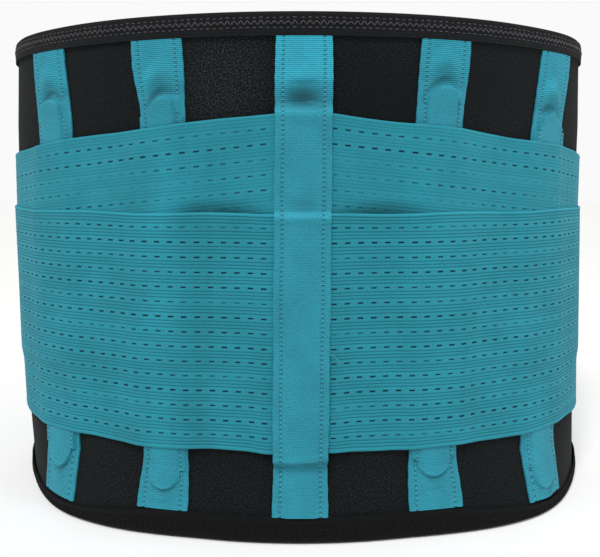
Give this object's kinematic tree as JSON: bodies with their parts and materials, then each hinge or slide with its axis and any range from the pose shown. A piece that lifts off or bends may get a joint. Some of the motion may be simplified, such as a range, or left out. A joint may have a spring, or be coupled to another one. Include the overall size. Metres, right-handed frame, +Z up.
{
  "type": "lumbar support belt",
  "caption": "Wrap-round lumbar support belt with boned back, crossed elastic side straps and a hook-and-loop front closure, standing closed as a ring.",
  "frame": {"origin": "centre of the bounding box on the floor plane that the bottom binding stands on", "axes": "+Z up along the spine, -Y out of the wearer's back, +X to the wearer's right"},
  "size_m": [0.3216, 0.2067, 0.234],
  "materials": {
    "shell_neoprene": "black loop-faced neoprene",
    "brushed_lining": "black brushed knit",
    "binding_tape": "black folded elastic binding",
    "grosgrain_tape": "teal ribbed grosgrain",
    "woven_elastic": "teal ribbed webbing with navy dashes",
    "spring_steel": "satin spring steel",
    "tip_coating": "white dipped coating",
    "hook_tape": "black moulded hooks",
    "tab_patch": "black stitched tab"
  },
  "bodies": {
    "back": {"back_shell": "shell_neoprene", "back_lining": "brushed_lining", "top_binding_back": "binding_tape", "bottom_binding_back": "binding_tape", "spine_channel": "grosgrain_tape", "spine_stay": "spring_steel", "spine_stay_top_tip": "tip_coating", "spine_stay_bottom_tip": "tip_coating", "inner_channel_left": "grosgrain_tape", "inner_stay_left": "spring_steel", "inner_stay_left_top_tip": "tip_coating", "inner_stay_left_bottom_tip": "tip_coating", "outer_channel_left": "grosgrain_tape", "outer_stay_left": "spring_steel", "outer_stay_left_top_tip": "tip_coating", "outer_stay_left_bottom_tip": "tip_coating", "upper_elastic_back_left": "woven_elastic", "lower_elastic_back_left": "woven_elastic", "inner_channel_right": "grosgrain_tape", "inner_stay_right": "spring_steel", "inner_stay_right_top_tip": "tip_coating", "inner_stay_right_bottom_tip": "tip_coating", "outer_channel_right": "grosgrain_tape", "outer_stay_right": "spring_steel", "outer_stay_right_top_tip": "tip_coating", "outer_stay_right_bottom_tip": "tip_coating", "upper_elastic_back_right": "woven_elastic", "lower_elastic_back_right": "woven_elastic"},
    "left_wing": {"left_wing_shell": "shell_neoprene", "left_wing_lining": "brushed_lining", "top_binding_left": "binding_tape", "bottom_binding_left": "binding_tape", "edge_binding_left": "binding_tape", "upper_elastic_side_left": "woven_elastic", "lower_elastic_side_left": "woven_elastic", "closure_hook_panel": "hook_tape"},
    "left_strap": {"upper_elastic_end_left": "woven_elastic", "lower_elastic_end_left": "woven_elastic", "strap_hook_pad_left": "hook_tape", "strap_tab_left": "tab_patch"},
    "right_wing": {"right_wing_shell": "shell_neoprene", "right_wing_lining": "brushed_lining", "top_binding_right": "binding_tape", "bottom_binding_right": "binding_tape", "edge_binding_right": "binding_tape", "upper_elastic_side_right": "woven_elastic", "lower_elastic_side_right": "woven_elastic"},
    "right_strap": {"upper_elastic_end_right": "woven_elastic", "lower_elastic_end_right": "woven_elastic", "strap_hook_pad_right": "hook_tape", "strap_tab_right": "tab_patch"}
  },
  "joints": [
    {"name": "left_wing_open", "type": "hinge", "parent": "back", "child": "left_wing", "pos_m": [-0.15251, 0.02514, 0.117], "axis": [0, 0, 1], "range_deg": [0, 80]},
    {"name": "right_wing_open", "type": "hinge", "parent": "back", "child": "right_wing", "pos_m": [0.15251, 0.02514, 0.117], "axis": [0, 0, -1], "range_deg": [0, 44]},
    {"name": "left_strap_peel", "type": "hinge", "parent": "left_wing", "child": "left_strap", "pos_m": [-0.13042, 0.05576, 0.117], "axis": [0, 0, 1], "range_deg": [0, 60]},
    {"name": "right_strap_peel", "type": "hinge", "parent": "right_wing", "child": "right_strap", "pos_m": [0.13042, 0.05576, 0.117], "axis": [0, 0, -1], "range_deg": [0, 60]}
  ],
  "couplings": [
    {"joint": "right_wing_open", "follows": "left_wing_open", "ratio": 0.55}
  ]
}
